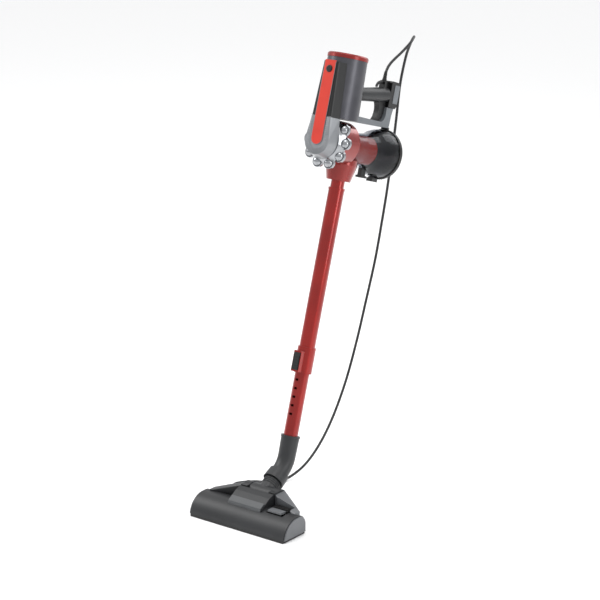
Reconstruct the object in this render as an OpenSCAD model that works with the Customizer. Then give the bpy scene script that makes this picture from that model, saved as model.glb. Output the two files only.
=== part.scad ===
// Corded stick vacuum with a lift-off hand unit, standing on its floor head.
// Millimetres, +Z up. The floor head faces -Y and the stick leans towards +Y.
// Origin: centre of the floor head's sole, on the floor.

/* [Floor head] */
// Overall width of the floor head
head_w = 262; // [240:1:290]
// Depth of the floor head's body
head_d = 76; // [72:1:84]
// Height of the floor head's body
head_h = 46; // [44:1:50]
// Wall of the moulded shells
wall = 2.5; // [2:0.1:3]

/* [Neck] */
// Height of the tilt axis above the floor
pivot_z = 52; // [50:0.5:54]
// Distance of the tilt axis behind the sole's centre
pivot_y = 58; // [56:0.5:60]
// Rise of the neck pipe above level
neck_rise = 30; // [28:1:32]

/* [Stick] */
// Lean of the stick from upright
lean = 17.5; // [15:0.5:18]
// Outside radius of the lower tube
tube_r = 16; // [15.5:0.1:16]
// Outside radius of the upper tube
upper_r = 17.5; // [17.4:0.1:18]
// Distance between two height notches
notch_pitch = 19; // [17:0.5:20]

/* [Hand unit] */
// Distance of the motor's axis in front of the stick's axis
motor_off = 48; // [47:0.5:49]
// Radius of the motor housing at its top
motor_r = 43.5; // [43:0.5:44]
// Radius of the cyclone housing
cyclone_r = 48; // [47:0.5:48]
// Radius of the dust cup at its rim
cup_r = 54.5; // [53:0.5:55]
// Width of the red strip
strip_w = 30; // [28:0.5:30]

/* [Cord] */
// Diameter of the cord
cord_d = 6.2; // [6:0.1:6.4]
// Turns beside each other in the coil
coil_cols = 4; // [4:1:4]
// Layers of the coil
coil_rows = 4; // [3:1:4]

/* [Hidden] */
$fn = 64;
gap = 0.3;
eps = 0.05;

// Floor head
cap_t = 3;
shell_x = head_w / 2 - cap_t;
sole_t = 6;
brush_y = 30;
brush_x = 110;
wheel_y = 48;
wheel_x = 52;
wheel_r = 9.5;
horn_in = 30;
horn_out = 46;
horn_r = 21;
pedal_x = 78;
pedal_w = 42;
pedal_y = 15;
pedal_z = 41;
pin_r = 6;
screw_x = [-104, -36, 36, 104];
screw_y = [-24, 20];

// Neck, measured along the pipe from the tilt axis
stub_end = 38;
spigot_end = 58;
collar_end = 63;
barrel_r = 20;
barrel_x = 29.4;
bend_angle = 90 - lean - neck_rise;
bend_r = 60;

// Stick, measured along its axis from the floor
foot_y = 103.8;
rim_s = 167;
sleeve_s = 306;
sleeve_top = 364;
ring_s = 711;
adapter_s = 732;

// Hand unit, measured along the stick's axis (s) and behind it (n)
cyc_s = 811;
house_s = 862;
cap_s = 991;
top_s = 1001;
cover_n = -106;
cover_top = 979;
strip_tip = 798;
button_s = 962;
flange_n = -62;
ring_n = -12;
cup_n = 136;
lid_n = 145;
cup_s = 808;
lobe_ring = 48;
lobe_r = 13.5;
house_r = motor_r + 3;

// Cord: the stretch that is not coiled, from the strain relief to the coil
relief_s = 968;
relief_n = 103;
relief_len = 20;
route = [
    [0, 498, 907.6], [0, 501.5, 914], [0, 507.5, 920.8], [0, 517, 927.5], [0, 533, 935], [0, 553, 943],
    [0, 575, 953], [0, 594, 963], [-6, 612, 969], [-16, 630, 969], [-30, 644, 960], [-44, 653, 942],
    [-58, 658, 912], [-68, 652, 850], [-70, 641, 770], [-71, 627, 690], [-72, 611, 610], [-73, 591, 530],
    [-73, 567, 450], [-74, 536, 365], [-74, 500, 275], [-75, 460, 188], [-76, 412, 113],
    [-77, 360, 58], [-80, 305, 22], [-88, 250, 5.5], [-98, 210, 3.4], [-111, 170, 3.3], [-118.7, 131, 3.2]
];
coil_x = -74;
coil_y = 131;
coil_z = 0;
coil_mid = 35.4;
coil_w = coil_cols * cord_d;
coil_h = coil_rows * cord_d;
plug_dir = 25;
plug_x = -64;
plug_y = 118;

module stick() {
    translate([0, foot_y, 0]) rotate([-lean, 0, 0]) children();
}

module neck() {
    translate([0, pivot_y, pivot_z]) rotate([neck_rise - 90, 0, 0]) children();
}

// A cylinder or cone whose axis runs along X
module along_x(x0, x1, r) {
    translate([x0, 0, 0]) rotate([0, 90, 0]) cylinder(h = x1 - x0, r = r);
}

// A cylinder or cone on the cyclone's axis, from n0 to n1
module cyc(n0, n1, r1, r2) {
    translate([0, n0, cyc_s]) rotate([-90, 0, 0]) cylinder(h = n1 - n0, r1 = r1, r2 = r2);
}

// A side outline [y, z] made solid from x0 to x1
module side_solid(x0, x1) {
    translate([x0, 0, 0]) rotate([90, 0, 90]) linear_extrude(x1 - x0) children();
}

module box(x0, x1, y0, y1, z0, z1) {
    translate([x0, y0, z0]) cube([x1 - x0, y1 - y0, z1 - z0]);
}

// Side outline of the floor head's body, with its wall taken off by i
module head_outline(i = 0) {
    intersection() {
        union() {
            intersection() {
                translate([8, 0]) circle(r = head_h - i);
                translate([i - head_d / 2, sole_t]) square([head_d / 2 + 8 - i, head_h]);
            }
            translate([7.9, sole_t]) square([8.1, head_h - sole_t - i]);
            translate([16, head_h - 22]) circle(r = 22 - i);
            translate([0, sole_t]) square([head_d / 2 - i, head_h - 22 - sole_t]);
        }
        translate([-head_d, sole_t]) square([2 * head_d, head_h]);
    }
}

// The slot in the top of the head for the foot pedal
module pedal_slot() {
    box(pedal_x - pedal_w / 2 - 1, pedal_x + pedal_w / 2 + 1, pedal_y - 20, pedal_y + 18, head_h - 8, head_h + 9);
}

module head_shell() {
    color("#3a3c3e") difference() {
        side_solid(-shell_x, shell_x) difference() {
            head_outline();
            head_outline(wall);
        }
        pedal_slot();
        box(-24, 24, 24, head_d / 2 + 1, 12, 36);
    }
    color("#3a3c3e") for (x = [54, 100.1]) {
        difference() {
            box(x, x + 1.9, pedal_y - 4, pedal_y + 4, 36, head_h - 2);
            translate([0, pedal_y, pedal_z]) along_x(pedal_x - 30, pedal_x + 30, 2);
        }
    }
}

module end_cap(side) {
    color("#77797b") mirror([side < 0 ? 1 : 0, 0, 0]) union() {
        side_solid(shell_x - 10, shell_x + 0.1) head_outline(wall + 0.15);
        side_solid(shell_x + eps, shell_x + cap_t) head_outline(2);
    }
}

module sole_plate() {
    color("#222426") difference() {
        box(4 - head_w / 2, head_w / 2 - 4, -head_d / 2, head_d / 2, 0, sole_t - eps);
        box(-96, 96, -20, -4, -1, sole_t + 1);
        for (y = [-brush_y, brush_y]) {
            box(-brush_x - 1, brush_x + 1, y - 3, y + 3, -1, sole_t + 1);
        }
        for (x = screw_x, y = screw_y) {
            translate([x, y, -1]) cylinder(h = 9, r = 2.45);
        }
    }
}

// Side outline of the raised centre: a wedge that climbs to the horns
module centre_outline() {
    polygon([[-8, 30], [-8, 44.5], [-6, 48], [20, 64], [34, 69], [37, 68], [37, 30]]);
}

module horn(side) {
    mirror([side < 0 ? 1 : 0, 0, 0]) difference() {
        union() {
            side_solid(horn_in, horn_out) translate([37.1, 46]) square([pivot_y - 37.1, 25]);
            translate([0, pivot_y, pivot_z]) along_x(horn_in, horn_out, horn_r);
        }
        translate([0, pivot_y, pivot_z]) along_x(horn_in - 1, horn_out - 4, pin_r + eps);
        side_solid(horn_in - 1, horn_out + 1) head_outline(-eps);
    }
}

module centre_cover() {
    color("#2b2d2f") union() {
        side_solid(-horn_out, horn_out) difference() {
            centre_outline();
            head_outline(-eps);
        }
        for (s = [-1, 1]) {
            box(s > 0 ? horn_in : -horn_out, s > 0 ? horn_out : -horn_in, 36, 40, 48, 68);
            horn(s);
        }
    }
}

module cover_plate() {
    color("#6b6e70") difference() {
        side_solid(-44, 44) polygon([[-11, 40], [-10.8, 45.6], [-8.6, 49.4], [4, 57.3], [6, 55], [-6, 47.6],
            [-7.6, 44.5], [-7.6, 40]]);
        side_solid(-45, 45) head_outline(-eps);
        side_solid(-45, 45) centre_outline();
    }
}

module wing(side) {
    color("#8b8e90") mirror([side < 0 ? 1 : 0, 0, 0]) difference() {
        hull() {
            box(horn_out + eps, horn_out + 4, 40, 70, 34, 67);
            box(110, 117, 16, 34, 30, 48.5);
        }
        side_solid(0, shell_x + 1) head_outline(-eps);
        if (side > 0) {
            pedal_slot();
            box(pedal_x - pedal_w / 2 - 4, pedal_x + pedal_w / 2 + 4, -10, 36, 40, 80);
        }
    }
}

module rear_frame() {
    color("#26282a") difference() {
        box(-60, 60, head_d / 2 + eps, 57, sole_t, 29.5);
        for (s = [-1, 1]) {
            box(s * wheel_x - 5, s * wheel_x + 5, wheel_y - 11, 59, -1, 21);
            translate([0, wheel_y, wheel_r + 0.2]) along_x(s * wheel_x - 8, s * wheel_x + 8, 2);
        }
        box(-24, 24, 37, 58, 12, 40);
    }
}

module suction_duct() {
    color("#4a4c4e") difference() {
        box(-23, 23, -20, 56, 12.5, 29);
        box(-21, 21, -18, 54, 14.5, 27);
        box(-20, 20, -18, -4, 11, 16);
        box(-20, 20, 42, 53, 26, 30);
    }
}

module wheel_axles() {
    color("silver") for (s = [-1, 1]) {
        translate([0, wheel_y, wheel_r + 0.2]) along_x(s * wheel_x - 7.9, s * wheel_x + 7.9, 1.95);
    }
}

module wheel(side) {
    color("#1c1c1c") translate([0, wheel_y, wheel_r + 0.2]) difference() {
        along_x(side * wheel_x - 4, side * wheel_x + 4, wheel_r);
        along_x(side * wheel_x - 5, side * wheel_x + 5, 2);
    }
}

module pedal_pin() {
    color("silver") translate([0, pedal_y, pedal_z]) along_x(pedal_x - 23.5, pedal_x + 23.5, 1.95);
}

module head_screws() {
    color("silver") for (x = screw_x, y = screw_y) {
        translate([x, y, 0.6]) cylinder(h = 5.3, r = 2.4);
    }
}

module brush_strips() {
    color("#101010") union() {
        box(-brush_x, brush_x, -brush_y - 1.8, 1.8 - brush_y, 0.8, 13);
        for (s = [-1, 1]) {
            box(s > 0 ? 27 : -brush_x, s > 0 ? brush_x : -27, brush_y - 1.8, brush_y + 1.8, 0.8, 13);
        }
    }
}

module foot_pedal() {
    color("#202224") difference() {
        union() {
            box(pedal_x - pedal_w / 2, pedal_x + pedal_w / 2, pedal_y - 2, pedal_y + 17, head_h + 0.5, head_h + 3.6);
            for (k = [0:4]) {
                box(pedal_x - 19, pedal_x + 19, pedal_y + 1 + 3.2 * k, pedal_y + 2.6 + 3.2 * k,
                    head_h + 3.5, head_h + 5.6);
            }
            for (s = [-1, 1]) {
                box(pedal_x + s * 15 - 2, pedal_x + s * 15 + 2, pedal_y - 3.6, pedal_y + 3.6,
                    pedal_z - 3.6, head_h + 0.6);
            }
        }
        translate([0, pedal_y, pedal_z]) along_x(pedal_x - 22, pedal_x + 22, 2);
    }
}

module pedal_key() {
    color("#8b8e90") union() {
        box(pedal_x - 18, pedal_x + 18, pedal_y - 19, pedal_y - 2.05, head_h + 0.65, head_h + 4.4);
    }
}

module neck_barrel() {
    color("#2a2c2e") difference() {
        union() {
            translate([0, pivot_y, pivot_z]) along_x(-barrel_x, barrel_x, barrel_r);
            translate([0, pivot_y, pivot_z]) along_x(-horn_out + 4.5, horn_out - 4.5, pin_r);
            neck() cylinder(h = stub_end, r = 18.6);
            for (k = [0:2]) {
                neck() translate([0, 0, 24 + 4.5 * k]) cylinder(h = 2.2, r = 20);
            }
            neck() cylinder(h = spigot_end, r = 16.9);
        }
        neck() cylinder(h = spigot_end + 1, r = 14.5);
        box(-18, 18, 45, 71, 25, 45);
        translate([0, pivot_y, pivot_z]) along_x(-24, 24, 15);
    }
}

module swivel_collar() {
    color("#232527") neck() difference() {
        union() {
            translate([0, 0, stub_end + gap]) cylinder(h = collar_end - stub_end - gap - eps, r1 = 24.5, r2 = 23.5);
        }
        translate([0, 0, stub_end]) cylinder(h = spigot_end + 0.5 - stub_end, r = 17);
        cylinder(h = 90, r = 15.5);
    }
}

// The bent pipe's centre line: straight, an arc, then straight up the stick
bend_tan = bend_r * tan(bend_angle / 2);
meet_z = (foot_y - pivot_y + pivot_z * (1 / tan(neck_rise))) / (1 / tan(neck_rise) - tan(lean));
meet_s = meet_z / cos(lean);
meet_t = (meet_z - pivot_z) / sin(neck_rise);

// A pipe standing on the floor plane, with its radii at both ends and its bore
module pipe(z0, z1, r0, r1, bore) {
    translate([0, 0, z0]) difference() {
        cylinder(h = z1 - z0, r1 = r0, r2 = r1);
        translate([0, 0, -1]) cylinder(h = z1 - z0 + 2, r = bore);
    }
}

module elbow() {
    color("#2e3032") union() {
        neck() pipe(collar_end, meet_t - bend_tan, 19.5, 19.5, 15.5);
        neck() translate([0, -bend_r, meet_t - bend_tan]) rotate([90, 0, 90])
            rotate_extrude(angle = bend_angle) translate([bend_r, 0]) difference() {
                circle(r = 19.5);
                circle(r = 15.5);
            }
        stick() pipe(meet_s + bend_tan, 137, 19.5, 19.8, 15.5);
        stick() pipe(137, rim_s, 19.8, 20.4, tube_r + eps);
        stick() pipe(rim_s - 5, rim_s, 21.3, 21.3, tube_r + 2);
        stick() box(-6, 6, 15, 24, 104, 109);
    }
}

module lower_tube() {
    color("#b02a22") stick() difference() {
        translate([0, 0, 137 + eps]) cylinder(h = 560 - 137, r = tube_r);
        translate([0, 0, 130]) cylinder(h = 440, r = tube_r - 1);
        for (k = [0:12]) {
            box(-5, 5, -tube_r - 1, -tube_r + 1.4, 212 + notch_pitch * k, 217 + notch_pitch * k);
        }
    }
}

module upper_tube() {
    color("#b8322a") stick() difference() {
        union() {
            translate([0, 0, sleeve_s + 6]) cylinder(h = ring_s - sleeve_s - 6, r = upper_r);
            translate([0, 0, ring_s - 10]) cylinder(h = 756 - ring_s + 10, r = 15);
        }
        translate([0, 0, sleeve_s]) cylinder(h = ring_s - sleeve_s - 12, r = tube_r + gap);
        translate([0, 0, ring_s - 13]) cylinder(h = 70, r = 14);
        translate([0, 0, 318]) rotate([90, 0, 0]) cylinder(h = 30, r = 2.5);
    }
}

module tube_ring() {
    color("#8a2a24") stick() difference() {
        translate([0, 0, ring_s + eps]) cylinder(h = 5, r = 18.3);
        translate([0, 0, ring_s - 1]) cylinder(h = 8, r = 15 + eps);
    }
}

module tube_sleeve() {
    color("#a52a22") stick() difference() {
        union() {
            translate([0, 0, sleeve_s]) cylinder(h = sleeve_top - sleeve_s, r = 20.3);
            box(-10, 10, -31, -10, sleeve_s + 2, 354);
        }
        translate([0, 0, sleeve_s + 6 - eps]) cylinder(h = 60, r = upper_r + eps);
        translate([0, 0, sleeve_s - 1]) cylinder(h = 60, r = tube_r + gap);
        box(-8.5, 8.5, -32, -21.5, 311.5, 350.5);
    }
}

module latch_button() {
    color("#333537") stick() union() {
        box(-8, 8, -33, -25, 312, 350);
        for (k = [0:4]) {
            box(-7, 7, -33.8, -32.9, 316 + 6 * k, 319 + 6 * k);
        }
    }
}

module neck_adapter() {
    color("#b3281f") stick() difference() {
        union() {
            translate([0, 0, adapter_s]) cylinder(h = 36, r1 = 26.5, r2 = 35);
            translate([0, 0, adapter_s + 36]) cylinder(h = 12, r = 35);
        }
        cyc(-80, ring_n + eps, cyclone_r + eps, cyclone_r + eps);
        cup_cyl(ring_n - 1, 60, 35.6, 35.6);
        translate([0, 0, adapter_s - 1]) cylinder(h = 26, r = 15 + gap);
        translate([0, 0, adapter_s + 20]) cylinder(h = 40, r = 13);
    }
}

module cyclone_housing() {
    color("#8c1d18") stick() difference() {
        cyc(flange_n + eps, ring_n, cyclone_r, cyclone_r);
        cyc(flange_n + 3, ring_n - 3, cyclone_r - 3, cyclone_r - 3);
        cyc(ring_n - 4, ring_n + 1, 26, 26);
        translate([0, 0, 745]) cylinder(h = 40, r = 9);
    }
}

module scallop_shell() {
    color("#c9ccce") stick() difference() {
        union() {
            cyc(flange_n - 4, flange_n, 49, 49);
            cyc(-82, flange_n - 4, 39, 50);
            for (k = [-4:3]) {
                a = -90 + 18 + 36 * k;
                translate([lobe_ring * cos(a), flange_n - 4, cyc_s + lobe_ring * sin(a)])
                    rotate([-90, 0, 0]) cylinder(h = 4, r = lobe_r);
            }
        }
        cyc(-83, flange_n - 6, 34, 45.5);
        translate([0, -motor_off, house_s - 1]) cylinder(h = 20, r = house_r + 1);
    }
}

// A slice of the front cover: half widths at its face and at its back
module cover_slice(s, face, back, back_n, t = 0) {
    for (x = [-1, 1]) {
        translate([x * (face - 5 + t), cover_n + 5 - t, s]) cylinder(h = 0.1, r = 5, $fn = 32);
        translate([x * (back - 1), back_n, s]) cylinder(h = 0.1, r = 1, $fn = 16);
    }
}

module front_cover() {
    color("#141516") stick() difference() {
        hull() {
            cover_slice(860.1, 26, 33.5, -83);
            cover_slice(cover_top - 0.1, 20, 27, -84);
        }
        hull() {
            cover_slice(859, 24, 31.5, -81, -2);
            cover_slice(cover_top - 2, 18, 25, -82, -2);
        }
        translate([0, -motor_off, house_s]) cylinder(h = cap_s - house_s, r1 = house_r + eps, r2 = motor_r + eps);
        translate([0, -motor_off, 855]) cylinder(h = 8, r = house_r + 0.25);
        translate([0, -90, button_s]) rotate([90, 0, 0]) cylinder(h = 30, r = 8);
    }
}

module ribbed_cover() {
    color("#b9bcbe") stick() difference() {
        hull() {
            translate([0, cover_n, 808]) rotate([-90, 0, 0]) cylinder(h = 24, r1 = 31, r2 = 38, $fn = 48);
            cover_slice(859.9, 26, 33.5, -83);
        }
        hull() {
            translate([0, cover_n + 2.2, 808]) rotate([-90, 0, 0]) cylinder(h = 24, r1 = 28.8, r2 = 36, $fn = 48);
            cover_slice(861, 24, 31.5, -81, -2);
        }
        cyc(-82, -60, 39 + eps, 55);
        translate([0, -motor_off, 855]) cylinder(h = 12, r = house_r + eps);
    }
}

// Long outline of the strip, with a round lower end
module strip_outline(r) {
    translate([0, strip_tip + strip_w / 2]) circle(r = r);
    translate([-r, strip_tip + strip_w / 2]) square([2 * r, cover_top + 2 - strip_tip - strip_w / 2]);
}

module strip_solid(r, n0, n1) {
    translate([0, n1, 0]) rotate([90, 0, 0]) linear_extrude(n1 - n0) strip_outline(r);
}

module red_strip() {
    color("#c8352a") stick() difference() {
        strip_solid(strip_w / 2 - 1.3, cover_n - 2, cover_n - eps);
        translate([0, -100, button_s]) rotate([90, 0, 0]) cylinder(h = 30, r = 8);
    }
}

module strip_trim() {
    color("#d8dadc") stick() difference() {
        strip_solid(strip_w / 2, cover_n - 1.6, cover_n - eps);
        strip_solid(strip_w / 2 - 1.25, cover_n - 5, cover_n + 1);
        box(-20, 20, cover_n - 5, cover_n + 1, cover_top - 1, cover_top + 5);
    }
}

module power_button() {
    color("#17181a") stick() translate([0, cover_n - 3.4, button_s]) rotate([-90, 0, 0]) union() {
        cylinder(h = 9, r = 7.4);
        translate([0, 0, -1]) cylinder(h = 1.1, r1 = 5.5, r2 = 7.4);
    }
}

module switch_body() {
    color("#3c4a3c") stick() box(-6, 6, -96.9, -92.6, button_s - 9, button_s + 9);
}

module motor_housing() {
    color("#55585b") stick() translate([0, -motor_off, 0]) difference() {
        translate([0, 0, house_s]) cylinder(h = cap_s - house_s, r1 = house_r, r2 = motor_r);
        translate([0, 0, house_s + 3]) cylinder(h = cap_s - house_s, r1 = house_r - wall, r2 = motor_r - wall);
        translate([0, 0, house_s - 1]) cylinder(h = 6, r = 14);
    }
}

module top_cap() {
    color("#b3261f") stick() translate([0, -motor_off, cap_s + eps]) difference() {
        union() {
            cylinder(h = top_s - cap_s - 3, r = motor_r + 1.2);
            translate([0, 0, top_s - cap_s - 3]) cylinder(h = 3, r1 = motor_r + 1.2, r2 = motor_r - 1.5);
        }
        translate([0, 0, -1]) cylinder(h = top_s - cap_s - 1.5, r = motor_r - 2);
        for (k = [-4:4]) {
            box(-sqrt(900 - 36 * k * k), sqrt(900 - 36 * k * k), 6 * k - 1, 6 * k + 1, 4, 15);
        }
    }
}

module motor() {
    color("#9a9da0") stick() translate([0, -motor_off, 0]) union() {
        translate([0, 0, 888]) cylinder(h = 62, r = 31);
        translate([0, 0, 950]) cylinder(h = 12, r = 12);
        translate([0, 0, 868]) cylinder(h = 20, r = 3);
    }
}

module motor_mount() {
    color("#222222") stick() translate([0, -motor_off, 0]) difference() {
        translate([0, 0, 930]) cylinder(h = 14, r = 41.4);
        translate([0, 0, 929]) cylinder(h = 16, r = 31 + eps);
    }
}

module fan() {
    color("#c7c9cb") stick() translate([0, -motor_off, 0]) difference() {
        union() {
            translate([0, 0, 868.5]) cylinder(h = 1.6, r = 36);
            translate([0, 0, 868.5]) cylinder(h = 12, r = 7);
            for (a = [0:40:320]) {
                rotate([0, 0, a]) box(6, 35, -0.8, 0.8, 870, 879);
            }
        }
        translate([0, 0, 867]) cylinder(h = 20, r = 3 + eps);
    }
}

module exhaust_filter() {
    color("#e6e6e0") stick() translate([0, -motor_off, 976]) cylinder(h = 12, r = motor_r - wall - 1);
}

module filter_cone() {
    color("#c23328") stick() difference() {
        union() {
            cyc(ring_n - 3 + eps, ring_n + 4, 25.8, 25.8);
            cup_cyl(ring_n + 3, 82, 28.5, 31);
        }
        cyc(ring_n - 6, ring_n + 4, 22, 22);
        cup_cyl(ring_n + 3.5, 80, 22, 27);
    }
}

module grip() {
    color("#46484b") stick() difference() {
        translate([0, -12, 921]) rotate([-82.4, 0, 0]) cylinder(h = 127.5, r1 = 13.5, r2 = 17);
        translate([0, -motor_off, house_s]) cylinder(h = cap_s - house_s, r1 = house_r + eps, r2 = motor_r + eps);
    }
}

module rear_block() {
    color("#161718") stick() difference() {
        union() {
            side_solid(-15, 15) polygon([[115.2, 912], [115.2, 966], [120, 970], [142, 969.5], [147, 966], [148.5, 958],
                [147.5, 918], [142, 911]]);
            side_solid(-7.5, 7.5) polygon([[97, 951], [97, 966], [99, 968], [116, 968], [116, 951]]);
        }
        translate([0, -12, 921]) rotate([-82.4, 0, 0]) cylinder(h = 127.55, r1 = 13.55, r2 = 17.05);
        for (s = [-1, 1]) {
            box(s * 15 - 1.5, s * 15 + 1.5, 127.5, 146, 922, 963);
        }
    }
}

module side_plates() {
    color("#85888a") stick() for (s = [-1, 1]) {
        box(s > 0 ? 13.55 : -15.8, s > 0 ? 15.8 : -13.55, 127.6, 145.9, 922.1, 962.9);
    }
}

// The claw above the grip and the small pin under the rear block
module cord_hooks() {
    color("#161718") stick() union() {
        translate([0, 91.5, 948]) rotate([180, -90, 0]) rotate_extrude(angle = 80)
            translate([15, 0]) circle(r = 3);
        translate([0, 91.5, 963]) rotate([-90, 0, 0]) cylinder(h = 5.45, r = 3);
        translate([0, 141, 899]) cylinder(h = 11.8, r = 1.6);
        translate([0, 141, 897]) sphere(r = 2.8);
    }
}

module finger_guard() {
    color("#1b1c1d") stick() difference() {
        side_solid(-6.5, 6.5) polygon(concat(
            [for (a = [50:-10:-60]) [77 + 16 * cos(a), 899 + 24 * sin(a)]],
            [[88, 877.6], [100, 879], [108, 885], [113, 896], [114.8, 909], [114.8, 923], [90, 921]]));
        translate([0, -12, 921]) rotate([-82.4, 0, 0]) cylinder(h = 127.6, r1 = 13.6, r2 = 17.1);
        side_solid(-8, 8) bracket_outline(eps);
    }
}

// Side outline of the lower bracket: a bar that turns up behind the fingers
module bracket_outline(grow = 0) {
    offset_in = [for (a = [-90:10:0]) [97 + (17 - grow) * cos(a), 894 + (17 - grow) * sin(a)]];
    polygon(concat([[-6, 862.5 - grow], [-6, 877 + grow]], offset_in, [[114 - grow, 910.9], [139 + grow, 910.9],
        [136, 895], [135, 872], [132, 867 - grow]]));
}

module lower_bracket() {
    color("#8f9294") stick() difference() {
        side_solid(-13, 13) bracket_outline();
        translate([0, -motor_off, house_s - 5]) cylinder(h = cap_s - house_s, r1 = house_r + 0.2, r2 = motor_r + eps);
        cup_cyl(100, cup_n + 1, cup_r + 0.8, cup_r + 0.8);
        translate([0, 141, 899]) cylinder(h = 20, r = 3.2);
    }
}

module strain_relief() {
    color("#1a1a1a") stick() translate([0, relief_n, relief_s + eps]) union() {
        cylinder(h = 3, r = 5.2);
        cylinder(h = relief_len, r1 = 4.8, r2 = 3.5);
    }
}

// Outer radius of the dust cup at distance n behind the stick's axis
cup_line = [[ring_n + gap, 33.5], [45, 34.5], [70, 37.5], [86, 42], [98, 47], [110, 51], [122, 53.5], [cup_n, cup_r]];

// A cylinder or cone on the dust cup's axis, from n0 to n1
module cup_cyl(n0, n1, r1, r2) {
    translate([0, n0, cup_s]) rotate([-90, 0, 0]) cylinder(h = n1 - n0, r1 = r1, r2 = r2);
}

// The space the dust cup fills, made wider by grow
module cup_body(grow) {
    translate([0, 0, cup_s]) rotate([-90, 0, 0]) rotate_extrude()
        polygon(concat([[0, ring_n + gap]], [for (p = cup_line) [p[1] + grow, p[0]]], [[0, cup_n]]));
}

module dust_cup() {
    color("#9aa0a6", 0.45) stick() translate([0, 0, cup_s]) rotate([-90, 0, 0]) rotate_extrude()
        polygon(concat([for (p = cup_line) [p[1], p[0]]],
            [for (i = [len(cup_line) - 1:-1:0]) [cup_line[i][1] - 2, cup_line[i][0]]]));
}

module cup_foot() {
    color("#55585a") stick() difference() {
        union() {
            box(-5, 5, 74, 90, 752.9, 784);
            box(-8, 8, 72, 92, 748, 753);
        }
        cup_body(eps);
    }
}

module cup_lid() {
    color("#2c2e30") stick() difference() {
        union() {
            cup_cyl(cup_n + gap, lid_n, 56, 56);
            translate([0, cup_n + 4.5, cup_s + 58]) along_x(-9, 9, 3);
            for (a = [200:6:340]) {
                translate([56 * cos(a), cup_n + gap, cup_s + 56 * sin(a)]) rotate([-90, 0, 0])
                    cylinder(h = lid_n - cup_n - gap, r = 1, $fn = 16);
            }
        }
        cup_cyl(cup_n - 1, lid_n - 2.5, 52, 52);
    }
}

module cup_latch() {
    color("#141516") stick() difference() {
        union() {
            box(-8, 8, 116, cup_n - 0.2, 744.5, 752.5);
            box(-6, 6, 119, 130, 752, 761);
        }
        cup_body(0.5);
    }
}

// Points on a smooth curve through the route, so many to each stretch
function spline(p0, p1, p2, p3, t) = 0.5 * (2 * p1 + (p2 - p0) * t + (2 * p0 - 5 * p1 + 4 * p2 - p3) * t * t
    + (3 * p1 - p0 - 3 * p2 + p3) * t * t * t);
function at(i) = route[max(0, min(len(route) - 1, i))];
function steps(i) = max(1, round(norm(at(i + 1) - at(i)) / 19));
cord_line = concat([for (i = [0:len(route) - 2], k = [0:steps(i) - 1])
    spline(at(i - 1), at(i), at(i + 1), at(i + 2), k / steps(i))], [at(len(route) - 1)]);
function unit(v) = v / norm(v);
function heading(i) = unit(cord_line[min(len(cord_line) - 1, i + 1)] - cord_line[max(0, i - 1)]);
cord_sides = 10;

module power_cord() {
    rings = len(cord_line);
    points = [for (i = [0:rings - 1]) let (t = heading(i), a = unit(cross(t, [1, 0, 0])), b = cross(a, t))
        for (k = [0:cord_sides - 1]) cord_line[i]
            + cord_d / 2 * (cos(360 * k / cord_sides) * a + sin(360 * k / cord_sides) * b)];
    walls = [for (i = [0:rings - 2], k = [0:cord_sides - 1]) let (m = (k + 1) % cord_sides)
        [i * cord_sides + k, i * cord_sides + m, (i + 1) * cord_sides + m, (i + 1) * cord_sides + k]];
    first = [for (k = [cord_sides - 1:-1:0]) k];
    last = [for (k = [0:cord_sides - 1]) (rings - 1) * cord_sides + k];
    color("#1c1c1e") polyhedron(points, concat(walls, [first, last]), convexity = 10);
}

module cord_coil() {
    color("#1c1c1e") translate([coil_x, coil_y, coil_z]) rotate_extrude()
        translate([coil_mid - coil_w / 2, 0]) square([coil_w, coil_h]);
}

module cord_tie() {
    color("#303236") translate([coil_x, coil_y, 0]) rotate([0, 0, -168]) difference() {
        box(coil_mid - coil_w / 2 - 2.2, coil_mid + coil_w / 2 + 1.6, -6, 6, 0, coil_h + 1.2);
        box(coil_mid - coil_w / 2 - 0.95, coil_mid + coil_w / 2 + 0.4, -7, 7, -1, coil_h + eps);
    }
}

module mains_plug() {
    color("#1a1a1c") translate([plug_x, plug_y, coil_z + coil_h + 9 + eps]) rotate([0, 0, plug_dir])
        translate([-34, 0, 0]) {
            rotate([0, 90, 0]) cylinder(h = 8, r1 = 4.5, r2 = 7);
            translate([7.9, -13, -8.9]) cube([26, 26, 17.5]);
            translate([33.8, -18, -8.9]) cube([8, 36, 17.5]);
            for (y = [-9.5, 9.5]) {
                translate([41.7, y, 0]) rotate([0, 90, 0]) cylinder(h = 19, r = 2.4);
            }
        }
}

head_shell();
end_cap(1);  // end_cap_left
end_cap(-1);  // end_cap_right
sole_plate();
centre_cover();
cover_plate();
wing(1);  // wing_left
wing(-1);  // wing_right
rear_frame();
suction_duct();
wheel_axles();
pedal_pin();
head_screws();
brush_strips();
foot_pedal();
pedal_key();
wheel(1);  // wheel_left
wheel(-1);  // wheel_right
neck_barrel();
swivel_collar();
elbow();
lower_tube();
upper_tube();
tube_sleeve();
tube_ring();
latch_button();
neck_adapter();
cyclone_housing();
scallop_shell();
front_cover();
ribbed_cover();
red_strip();
strip_trim();
motor_housing();
top_cap();
grip();
rear_block();
side_plates();
cord_hooks();
finger_guard();
lower_bracket();
strain_relief();
motor();
motor_mount();
switch_body();
exhaust_filter();
filter_cone();
fan();
power_button();
dust_cup();
cup_foot();
cup_lid();
cup_latch();
power_cord();
cord_coil();
cord_tie();
mains_plug();
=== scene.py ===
"""Corded stick vacuum cleaner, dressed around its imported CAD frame."""
import math
import random

import bmesh
import bpy
from mathutils import Matrix, Vector


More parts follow.
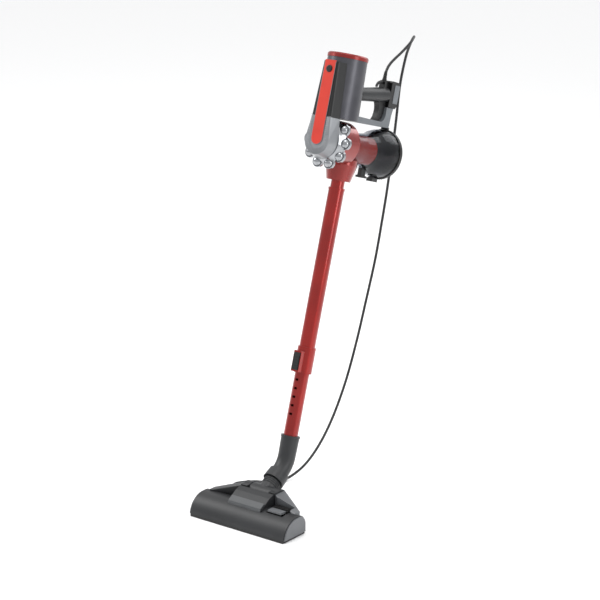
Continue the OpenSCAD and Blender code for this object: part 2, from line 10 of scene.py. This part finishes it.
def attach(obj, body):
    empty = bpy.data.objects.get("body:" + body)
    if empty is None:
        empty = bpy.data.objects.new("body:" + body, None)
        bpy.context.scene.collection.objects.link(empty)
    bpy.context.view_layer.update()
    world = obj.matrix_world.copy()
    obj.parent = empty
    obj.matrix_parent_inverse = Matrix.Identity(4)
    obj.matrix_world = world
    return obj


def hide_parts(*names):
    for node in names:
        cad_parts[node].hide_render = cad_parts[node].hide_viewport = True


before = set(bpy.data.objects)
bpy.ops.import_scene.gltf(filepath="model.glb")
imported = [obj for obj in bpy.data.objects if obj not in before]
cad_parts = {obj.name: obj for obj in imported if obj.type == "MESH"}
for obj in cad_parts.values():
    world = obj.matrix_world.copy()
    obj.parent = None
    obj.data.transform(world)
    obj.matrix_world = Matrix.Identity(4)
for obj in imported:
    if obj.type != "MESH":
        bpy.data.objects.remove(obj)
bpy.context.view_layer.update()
MM = 0.001

# The stick leans back; s runs up along it from the floor and n behind it
LEAN = math.radians(17.5)
STICK_FOOT = Vector((0, 103.8, 0))
CYCLONE_S = 811


def stick_matrix(s, n=0.0):
    """Turns a piece drawn in millimetres with X across, Y behind the stick and Z along it into the frame."""
    turn = Matrix.Rotation(-LEAN, 4, "X")
    return Matrix.Scale(MM, 4) @ Matrix.Translation(STICK_FOOT) @ turn @ Matrix.Translation((0, n, s))


# Camera
CAMERA_AT = Vector((2.738, -3.384, 1.820))
CAMERA_AIM = Vector((0, 0.1875, 0.4598))
camera = bpy.data.objects.new("camera", bpy.data.cameras.new("camera"))
camera.data.sensor_width = 36
camera.data.lens = 130.8
camera.location = CAMERA_AT
camera.rotation_mode = "QUATERNION"
camera.rotation_quaternion = (CAMERA_AIM - CAMERA_AT).to_track_quat("-Z", "Y")
camera.data.clip_end = 50
bpy.context.scene.collection.objects.link(camera)
bpy.context.scene.camera = camera


# Materials

def linear(code):
    """A colour's sRGB hex value as linear RGBA."""
    parts = [int(code[i:i + 2], 16) / 255 for i in (1, 3, 5)]
    return [c / 12.92 if c <= 0.04045 else ((c + 0.055) / 1.055) ** 2.4 for c in parts] + [1]


def add(mat, kind, links=(), **settings):
    """Adds a node, sets its inputs or properties by name, and links (from_node, output, input)."""
    node = mat.node_tree.nodes.new(kind)
    for name, value in settings.items():
        socket = node.inputs.get(name.replace("_", " "))
        if socket is not None:
            socket.default_value = value
        else:
            setattr(node, name, value)
    for source, output, target in links:
        mat.node_tree.links.new(source.outputs[output], node.inputs[target])
    return node


def shader(name, colour, roughness, metallic=0.0, coat=0.0, **more):
    """A new material with a Principled shader, which holds every value that is the same all over."""
    mat = bpy.data.materials.new(name)
    mat.use_nodes = True
    bsdf = mat.node_tree.nodes["Principled BSDF"]
    values = {"Base Color": linear(colour), "Roughness": roughness, "Metallic": metallic,
              "Coat Weight": coat, "Coat Roughness": 0.08}
    values.update(more)
    for socket, value in values.items():
        bsdf.inputs[socket].default_value = value
    return mat, bsdf


def grained(name, colour, shade, roughness, grain_mm, bump, metallic=0.0, coat=0.0, blotch_mm=60, **more):
    """A surface with a fine grain, cloudy colour between two close shades, and uneven gloss."""
    mat, bsdf = shader(name, colour, roughness, metallic, coat, **more)
    place = add(mat, "ShaderNodeTexCoord")
    where = [(place, "Object", "Vector")]
    grain = add(mat, "ShaderNodeTexNoise", where, Scale=1 / (grain_mm * MM), Detail=3.0)
    cloud = add(mat, "ShaderNodeTexNoise", where, Scale=1 / (blotch_mm * MM), Detail=2.0)
    ramp = add(mat, "ShaderNodeValToRGB", [(cloud, "Fac", "Fac")])
    ramp.color_ramp.elements[0].position, ramp.color_ramp.elements[1].position = 0.35, 0.65
    ramp.color_ramp.elements[0].color, ramp.color_ramp.elements[1].color = linear(colour), linear(shade)
    gloss = add(mat, "ShaderNodeMapRange", [(grain, "Fac", "Value")])
    gloss.inputs["To Min"].default_value = roughness * 0.88
    gloss.inputs["To Max"].default_value = roughness * 1.15
    relief = add(mat, "ShaderNodeBump", [(grain, "Fac", "Height")], Strength=bump, Distance=0.0003)
    for node, output, socket in ((ramp, "Color", "Base Color"), (gloss, "Result", "Roughness"),
                                 (relief, "Normal", "Normal")):
        mat.node_tree.links.new(node.outputs[output], bsdf.inputs[socket])
    return mat


# Polypropylene, moulded with a fine spark texture: very dark grey with long soft highlights
charcoal_pp = grained("charcoal_polypropylene", "#1d1e20", "#232426", 0.42, 0.9, 0.25)
# The same plastic made black: painted shade on the pieces that sit in shade, and the black of the pieces that
# carry grip ribs
black_and_shade_pp = grained("black_polypropylene_painted_shade", "#0b0b0c", "#111213", 0.46, 0.9, 0.25)
# ABS, moulded and satin, in mid grey: end caps, wing and pedal key
grey_abs = grained("grey_abs", "#585a5d", "#606265", 0.38, 1.1, 0.15)
# The same ABS in a darker grey, of the plate on the centre cover
dark_grey_abs = grained("dark_grey_abs", "#3f4143", "#47494b", 0.4, 1.1, 0.15)
# ABS in a bluer, lighter grey for the handle's bracket and side plates
light_abs = grained("light_grey_abs", "#666a6e", "#6e7276", 0.36, 1.1, 0.12)
# ABS polished in the mould: deep black with a soft reflection
gloss_black_abs = grained("gloss_black_abs", "#050506", "#08090a", 0.3, 2.5, 0.03, coat=0.08)
# Steel tube with metallic red lacquer: a bright line along it and dark edges
red_lacquer = grained("red_metallic_lacquer", "#8a140d", "#98180f", 0.28, 0.5, 0.06, metallic=0.7, coat=0.6)
# Red lacquer on moulded ABS, darker and smoother, for the cyclone and its funnel
cyclone_lacquer = grained("cyclone_lacquer", "#7a110b", "#88150d", 0.22, 0.6, 0.04, metallic=0.55, coat=0.7)
# Orange-red ABS, moulded glossy, of the strip
signal_red_abs = grained("signal_red_abs", "#c02a18", "#c8301c", 0.3, 2.0, 0.04, coat=0.2)
# Red lacquer with metal flake on the top cap
cap_lacquer = grained("cap_lacquer", "#7d1610", "#8c1a13", 0.34, 0.5, 0.06, metallic=0.45, coat=0.3)
# Chromed ABS in a grey tone, a little soft in its reflections
chromed_abs = grained("chromed_abs", "#a4a6a9", "#96989b", 0.16, 3.0, 0.03, metallic=1.0)
# Silver lacquer on ABS: grey metallic flake
silver_lacquer = grained("silver_lacquer", "#85878a", "#8f9194", 0.34, 0.5, 0.06, metallic=0.75, coat=0.3)
# Gunmetal lacquer on the motor housing: dark grey flake with a broad soft highlight
gunmetal_lacquer = grained("gunmetal_lacquer", "#4a4a4f", "#545459", 0.36, 0.5, 0.08, metallic=0.75, coat=0.1)
# Turned steel pins and screws
turned_steel = grained("turned_steel", "#a9abad", "#b6b8ba", 0.3, 0.4, 0.2, metallic=1.0)
# Die-cast aluminium of the motor's can and the fan
cast_aluminium = grained("cast_aluminium", "#b4b5b6", "#a5a6a8", 0.45, 0.8, 0.35, metallic=1.0)
# Synthetic rubber, matt, of the wheels and mounts
black_rubber = grained("black_rubber", "#161616", "#1d1d1d", 0.7, 0.6, 0.4)
# PVC sheath of the cord and its plug: satin black
cord_pvc = grained("cord_pvc", "#111113", "#17171a", 0.4, 0.5, 0.12)
# Non-woven filter fleece, off-white and fibrous
filter_fleece = grained("filter_fleece", "#dcdbd3", "#cfcec5", 0.92, 0.35, 0.9)
# Nylon bristle, black
nylon_bristle = grained("nylon_bristle", "#0f0f10", "#1a1a1b", 0.5, 0.5, 0.2)
# Woven hook-and-loop band round the coil: dark grey nylon
nylon_band = grained("nylon_band", "#26282b", "#303236", 0.8, 0.7, 0.6)
# Bright red ABS of the filter cone, seen through the cup
red_filter_abs = grained("red_filter_abs", "#d8321f", "#e03c26", 0.34, 0.8, 0.12, coat=0.2)
# Smoke-tinted polycarbonate, injection moulded: clear, grey and glossy
smoke_pc, smoke_bsdf = shader("smoke_polycarbonate", "#b9bdc4", 0.03, coat=0.3)
smoke_bsdf.inputs["Transmission Weight"].default_value = 1.0
smoke_bsdf.inputs["IOR"].default_value = 1.12
place = add(smoke_pc, "ShaderNodeTexCoord")
ripple = add(smoke_pc, "ShaderNodeTexNoise", [(place, "Object", "Vector")], Scale=45.0)
smoke_bump = add(smoke_pc, "ShaderNodeBump", [(ripple, "Fac", "Height")], Strength=0.08, Distance=0.0004)
smoke_pc.node_tree.links.new(smoke_bump.outputs["Normal"], smoke_bsdf.inputs["Normal"])

NODE_FINISHES = {
    charcoal_pp: ["head_shell", "centre_cover", "wing_right", "neck_barrel", "swivel_collar", "elbow", "grip"],
    # These pieces are painted darker: painted shade where they sit in shade, and black where they carry grip
    # ribs
    black_and_shade_pp: ["sole_plate", "rear_frame", "suction_duct", "foot_pedal", "latch_button", "cup_foot", "cup_lid",
               "finger_guard", "cord_hooks", "switch_body"],
    grey_abs: ["end_cap_left", "end_cap_right", "wing_left", "pedal_key"],
    dark_grey_abs: ["cover_plate"],
    light_abs: ["lower_bracket", "side_plates"],
    gloss_black_abs: ["front_cover", "rear_block", "power_button", "cup_latch"],
    red_lacquer: ["lower_tube", "upper_tube", "tube_sleeve", "tube_ring"],
    cyclone_lacquer: ["neck_adapter", "cyclone_housing"],
    signal_red_abs: ["red_strip"],
    cap_lacquer: ["top_cap"],
    red_filter_abs: ["filter_cone"],
    chromed_abs: ["strip_trim"],
    silver_lacquer: ["ribbed_cover"],
    gunmetal_lacquer: ["motor_housing"],
    turned_steel: ["wheel_axles", "pedal_pin", "head_screws"],
    cast_aluminium: ["motor", "fan"],
    black_rubber: ["wheel_left", "wheel_right", "motor_mount"],
    filter_fleece: ["exhaust_filter"],
    smoke_pc: ["dust_cup"],
    cord_pvc: ["mains_plug"],
}
for finish, names in NODE_FINISHES.items():
    for name in names:
        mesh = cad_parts[name].data
        mesh.materials.clear()
        mesh.materials.append(finish)


# Making pieces

def piece(name, mesh_or_bmesh, finish, body, smooth=True):
    """Links a finished shape at the origin, gives it its material and makes it ride on a body."""
    if isinstance(mesh_or_bmesh, bmesh.types.BMesh):
        mesh = bpy.data.meshes.new(name)
        mesh_or_bmesh.to_mesh(mesh)
        mesh_or_bmesh.free()
    else:
        mesh = mesh_or_bmesh
    obj = bpy.data.objects.new(name, mesh)
    bpy.context.scene.collection.objects.link(obj)
    mesh.materials.append(finish)
    if smooth:
        for face in mesh.polygons:
            face.use_smooth = True
        mesh.set_sharp_from_angle(angle=math.radians(35))
    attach(obj, body)
    return obj


def turned(bm, profile, steps, matrix):
    """Spins an open outline of (radius, height) points about Z in an empty bmesh, then places the skin."""
    verts = [bm.verts.new((r, 0, z)) for r, z in profile]
    edges = [bm.edges.new(pair) for pair in zip(verts, verts[1:])]
    bmesh.ops.spin(bm, geom=verts + edges, cent=(0, 0, 0), axis=(0, 0, 1), dvec=(0, 0, 0),
                   angle=math.tau, steps=steps, use_merge=True, use_duplicate=False)
    bmesh.ops.remove_doubles(bm, verts=list(bm.verts), dist=0.001)
    bmesh.ops.recalc_face_normals(bm, faces=list(bm.faces))
    bmesh.ops.transform(bm, matrix=matrix, verts=list(bm.verts))


def rounded_box(bm, low, high, radius, matrix, segments=3):
    """A box between two corners with its edges rounded."""
    low, high = Vector(low), Vector(high)
    size = high - low
    shape = Matrix.Translation((low + high) / 2) @ Matrix.Diagonal((*size, 1))
    made = bmesh.ops.create_cube(bm, size=1, matrix=shape)["verts"]
    edges = list({e for v in made for e in v.link_edges})
    result = bmesh.ops.bevel(bm, geom=edges, offset=radius, offset_type="OFFSET", affect="EDGES",
                             segments=segments, profile=0.5, material=-1)
    verts = list({v for f in result["faces"] for v in f.verts} | {v for v in made if v.is_valid})
    island = set(verts)
    grow = list(verts)
    while grow:
        v = grow.pop()
        for e in v.link_edges:
            other = e.other_vert(v)
            if other not in island:
                island.add(other)
                grow.append(other)
    bmesh.ops.transform(bm, matrix=matrix, verts=list(island))


# The cord, from the strain relief to the plug, in one smooth line
CORD_D = 6.2
ROUTE = [
    (0, 498, 907.6), (0, 501.5, 914), (0, 507.5, 920.8), (0, 517, 927.5), (0, 533, 935), (0, 553, 943),
    (0, 575, 953), (0, 594, 963), (-6, 612, 969), (-16, 630, 969), (-30, 644, 960), (-44, 653, 942),
    (-58, 658, 912), (-68, 652, 850), (-70, 641, 770), (-71, 627, 690), (-72, 611, 610), (-73, 591, 530),
    (-73, 567, 450), (-74, 536, 365), (-74, 500, 275), (-75, 460, 188), (-76, 412, 113),
    (-77, 360, 58), (-80, 305, 22), (-88, 250, 5.5), (-98, 210, 3.4), (-111, 170, 3.3), (-118.7, 131, 3.2)]
COIL_AT = Vector((-74, 131, 0))
COIL_MID = 35.4
COIL_COLUMNS, COIL_ROWS = 4, 4
TURN_POINTS = 24


def spline(points, spacing):
    """Points on a smooth curve through the given ones, about the given distance apart."""
    line = []
    pts = [Vector(p) for p in points]
    for i in range(len(pts) - 1):
        p0, p1, p2, p3 = pts[max(0, i - 1)], pts[i], pts[i + 1], pts[min(len(pts) - 1, i + 2)]
        steps = max(1, round((p2 - p1).length / spacing))
        for k in range(steps):
            t = k / steps
            line.append(0.5 * (2 * p1 + (p2 - p0) * t + (2 * p0 - 5 * p1 + 4 * p2 - p3) * t * t
                               + (3 * p1 - p0 - 3 * p2 + p3) * t * t * t))
    return line + [pts[-1]]


def coil_line():
    """The coil's turns: each stays on its own radius and layer, and slips to the next near its end."""
    columns = [COIL_MID + CORD_D * (k - (COIL_COLUMNS - 1) / 2) for k in range(COIL_COLUMNS)]
    places = []
    for row in range(COIL_ROWS):
        order = reversed(columns) if row % 2 == 0 else columns
        places += [(r, CORD_D * (row + 0.5)) for r in order]
    line = []
    for i, (r, z) in enumerate(places):
        r2, z2 = places[min(i + 1, len(places) - 1)]
        for k in range(TURN_POINTS):
            part = k / TURN_POINTS
            slip = min(1, max(0, (part - 0.72) / 0.28))
            slip = slip * slip * (3 - 2 * slip)
            a = math.pi + math.tau * part
            radius, height = r + (r2 - r) * slip, z + (z2 - z) * slip
            line.append(COIL_AT + Vector((radius * math.cos(a), radius * math.sin(a), height)))
    return line


PLUG_TURN = math.radians(25)
PLUG_ENTRY = Vector((-64, 118, 33.85)) - 34 * Vector((math.cos(PLUG_TURN), math.sin(PLUG_TURN), 0))
# The last turn leaves the coil outwards and swings round into the plug
coil = coil_line()[:-4]
tail = [coil[-1]] + [COIL_AT + Vector(p) for p in (
    (-29, 35.9, 22), (-43.2, 22.6, 22.6), (-50.5, 9.8, 23.6), (-54, -0.5, 24.8), (-54.6, -9.8, 26.2),
    (-50.6, -19.4, 28.2), (-43, -26.4, 30.4), (-33, -29.5, 32.4), (-25, -28.9, 33.6))] + [PLUG_ENTRY]
cord_points = spline(ROUTE, 9)[:-1] + coil[:-1] + spline(tail, 5)
curve = bpy.data.curves.new("power_cord_line", "CURVE")
curve.dimensions = "3D"
curve.bevel_depth = CORD_D / 2 * MM
curve.bevel_resolution = 3
curve.use_fill_caps = True
line = curve.splines.new("POLY")
line.points.add(len(cord_points) - 1)
for point, place_mm in zip(line.points, cord_points):
    point.co = (*(place_mm * MM), 1)
line.use_smooth = True
flex = bpy.data.objects.new("flex", curve)
bpy.context.scene.collection.objects.link(flex)
curve.materials.append(cord_pvc)
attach(flex, "hand_unit")
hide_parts("power_cord", "cord_coil")

# The band that holds the coil: a bridge over it, two legs beside it and a buckle on top
BAND_HALF = 6
BAND_INNER_SPACE, BAND_OUTER_SPACE, BAND_THICK = 1.0, 0.4, 1.2
COIL_TOP = COIL_ROWS * CORD_D
half_w = COIL_COLUMNS * CORD_D / 2
inner_leg = COIL_MID - half_w - BAND_INNER_SPACE
outer_leg = COIL_MID + half_w + BAND_OUTER_SPACE
band = bmesh.new()
band_turn = math.radians(-168)
band_place = Matrix.Scale(MM, 4) @ Matrix.Translation(COIL_AT) @ Matrix.Rotation(band_turn, 4, "Z")
for low, high in (
        ((inner_leg - BAND_THICK, -BAND_HALF, COIL_TOP + 0.05),
         (outer_leg + BAND_THICK, BAND_HALF, COIL_TOP + 1.2)),
        ((inner_leg - BAND_THICK, -BAND_HALF, 0), (inner_leg, BAND_HALF, COIL_TOP + 0.8)),
        ((outer_leg, -BAND_HALF, 0), (outer_leg + BAND_THICK, BAND_HALF, COIL_TOP + 0.8)),
        ((COIL_MID - 6, -5.5, COIL_TOP + 1.1), (COIL_MID + 10, 5.5, COIL_TOP + 2.2))):
    rounded_box(band, low, high, 0.5, band_place, 2)
cord_band = piece("cord_band", band, nylon_band, "hand_unit")
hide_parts("cord_tie")

# Strain relief: a foot, five rings that grow narrower, and a plain tip
RELIEF_S, RELIEF_N, RELIEF_LENGTH = 968.05, 103, 20
RING_COUNT, RING_PITCH = 5, 3.1
relief = bmesh.new()
outline = [(0.01, 0), (5.2, 0), (5.2, 3), (4.6, 3.4)]
for k in range(RING_COUNT):
    base = 4 + RING_PITCH * k
    radius = 4.6 - 0.2 * k
    outline += [(radius, base), (radius, base + 1.6), (radius - 0.7, base + 1.9), (radius - 0.7, base + 2.7)]
outline += [(3.4, RELIEF_LENGTH), (0.01, RELIEF_LENGTH)]
turned(relief, outline, 28, stick_matrix(RELIEF_S, RELIEF_N))
relief_piece = piece("cord_sleeve", relief, black_rubber, "hand_unit")
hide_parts("strain_relief")

# The shell with eight domed bubbles
LOBE_RING, LOBE_R = 48, 13.5
shell = bmesh.new()
shell_place = stick_matrix(CYCLONE_S) @ Matrix.Rotation(math.radians(90), 4, "X")
ring = [(39.2, 82), (41, 82.2), (43.5, 78), (47, 71.5), (50, 67.6), (50, 66), (49, 62), (46, 62), (46, 66),
        (37, 80), (37, 82), (39.2, 82)]
turned(shell, ring, 96, shell_place)
for k in range(-4, 4):
    a = math.radians(-90 + 18 + 36 * k)
    at = Matrix.Translation((LOBE_RING * math.cos(a), LOBE_RING * math.sin(a), 0))
    bubble = bmesh.new()
    dome = [(0.01, 77.5)] + [(10.6 * math.sin(t), 68 + 9.5 * math.cos(t)) for t in
                             [math.radians(d) for d in range(12, 90, 12)]]
    dome += [(11.2, 67.6), (11.6, 68.4), (12.6, 69), (LOBE_R, 68), (LOBE_R, 62.2), (0.01, 62.2)]
    turned(bubble, dome, 36, shell_place @ at)
    scrap = bpy.data.meshes.new("bubble")
    bubble.to_mesh(scrap)
    bubble.free()
    shell.from_mesh(scrap)
    bpy.data.meshes.remove(scrap)
bubbles = piece("bubble_shell", shell, chromed_abs, "hand_unit")
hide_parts("scallop_shell")

# Fine ribs on the silver cover: a fan round its lower end and two columns that climb beside the strip
RIB_LOW, RIB_HIGH, RIB_HALF, RIB_EDGE = 105.6, 107.0, 0.7, 0.45
FAN_S, FAN_STEP, FAN_EACH_SIDE = 808, 9.5, 11
COLUMN_S, COLUMN_PITCH, COLUMN_COUNT, COLUMN_SLANT = 818, 4.6, 9, 14
face_forward = Matrix.Rotation(math.radians(90), 4, "X")
ribs = bmesh.new()
for k in range(-FAN_EACH_SIDE, FAN_EACH_SIDE + 1):
    reach = 27.0 if abs(k) > 9 else 30.5
    turn = Matrix.Rotation(math.radians(-90 + FAN_STEP * k), 4, "Z")
    rounded_box(ribs, (17.0, -RIB_HALF, RIB_LOW), (reach, RIB_HALF, RIB_HIGH), RIB_EDGE,
                stick_matrix(FAN_S) @ face_forward @ turn, 2)
for side in (-1, 1):
    flip = Matrix.Identity(4) if side > 0 else Matrix.Rotation(math.pi, 4, "Z")
    slant = Matrix.Rotation(math.radians(COLUMN_SLANT * side), 4, "Z")
    for k in range(COLUMN_COUNT):
        rounded_box(ribs, (16.2, -RIB_HALF, RIB_LOW), (26.5, RIB_HALF, RIB_HIGH), RIB_EDGE,
                    stick_matrix(COLUMN_S + COLUMN_PITCH * k) @ face_forward @ flip @ slant, 2)
fan_ribs = piece("fan_ribs", ribs, silver_lacquer, "hand_unit")

# Bristles: rows of thin tufts in place of each solid strip
random.seed(7)
tufts = bmesh.new()
BRUSH_Y, BRUSH_X, BRUSH_GAP, TUFT_PITCH = 30, 110, 27, 2.2
STRIPS = [(-BRUSH_Y, [(-BRUSH_X, BRUSH_X)]), (BRUSH_Y, [(-BRUSH_X, -BRUSH_GAP), (BRUSH_GAP, BRUSH_X)])]
for y, spans in STRIPS:
    for x0, x1 in spans:
        rounded_box(tufts, (x0, y - 1.8, 9), (x1, y + 1.8, 13), 0.4, Matrix.Scale(MM, 4), 1)
        x = x0 + 1.5
        while x < x1 - 1:
            for row in (-0.9, 0.9):
                lean = random.uniform(-0.5, 0.5)
                stand = (Matrix.Translation((x + lean * 0.3, y + row, 5.1))
                         @ Matrix.Rotation(math.pi, 4, "X"))
                made = bmesh.ops.create_cone(tufts, cap_ends=True, segments=6, radius1=0.75,
                                             radius2=0.45, depth=8.4, matrix=stand)["verts"]
                bmesh.ops.transform(tufts, matrix=Matrix.Scale(MM, 4), verts=made)
            x += TUFT_PITCH
bristles = piece("bristle_rows", tufts, nylon_bristle, "brushes")
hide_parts("brush_strips")

# Floor and soft studio light
floor_mat, floor_bsdf = shader("studio_floor", "#ffffff", 0.55)
ground = bmesh.new()
bmesh.ops.create_grid(ground, x_segments=1, y_segments=1, size=30)
floor_mesh = bpy.data.meshes.new("floor")
ground.to_mesh(floor_mesh)
ground.free()
floor = bpy.data.objects.new("floor", floor_mesh)
floor_mesh.materials.append(floor_mat)
bpy.context.scene.collection.objects.link(floor)

LAMPS = [
    # name, place, aim, width, height, power
    ("key_softbox", (-2.6, -0.9, 2.7), (0, 0.2, 0.5), 1.6, 2.2, 50),
    ("side_softbox", (3.0, 0.2, 1.6), (0, 0.3, 0.6), 0.9, 2.4, 26),
    ("top_softbox", (0.2, 0.0, 3.4), (0, 0.25, 0.4), 1.8, 1.8, 25),
    ("back_softbox", (0.6, 2.8, 2.2), (0, 0.3, 0.5), 2.0, 1.4, 18),
]
for name, place_at, aim, width, height, power in LAMPS:
    data = bpy.data.lights.new(name, "AREA")
    data.shape = "RECTANGLE"
    data.size, data.size_y, data.energy = width, height, power
    lamp = bpy.data.objects.new(name, data)
    lamp.location = place_at
    lamp.rotation_mode = "QUATERNION"
    lamp.rotation_quaternion = (Vector(aim) - Vector(place_at)).to_track_quat("-Z", "Y")
    bpy.context.scene.collection.objects.link(lamp)
# The room around: pale above, dimmer towards the horizon
world = bpy.data.worlds.new("studio")
world.use_nodes = True
sky = world.node_tree.nodes["Background"]
where = add(world, "ShaderNodeTexCoord")
split = add(world, "ShaderNodeSeparateXYZ", [(where, "Generated", "Vector")])
fade = add(world, "ShaderNodeValToRGB", [(split, "Z", "Fac")])
fade.color_ramp.elements[0].position, fade.color_ramp.elements[1].position = 0.0, 0.75
fade.color_ramp.elements[0].color, fade.color_ramp.elements[1].color = linear("#d4d6d9"), linear("#ffffff")
world.node_tree.links.new(fade.outputs["Color"], sky.inputs["Color"])
sky.inputs["Strength"].default_value = 1.0
bpy.context.scene.world = world
bpy.context.scene.view_settings.view_transform = "Standard"
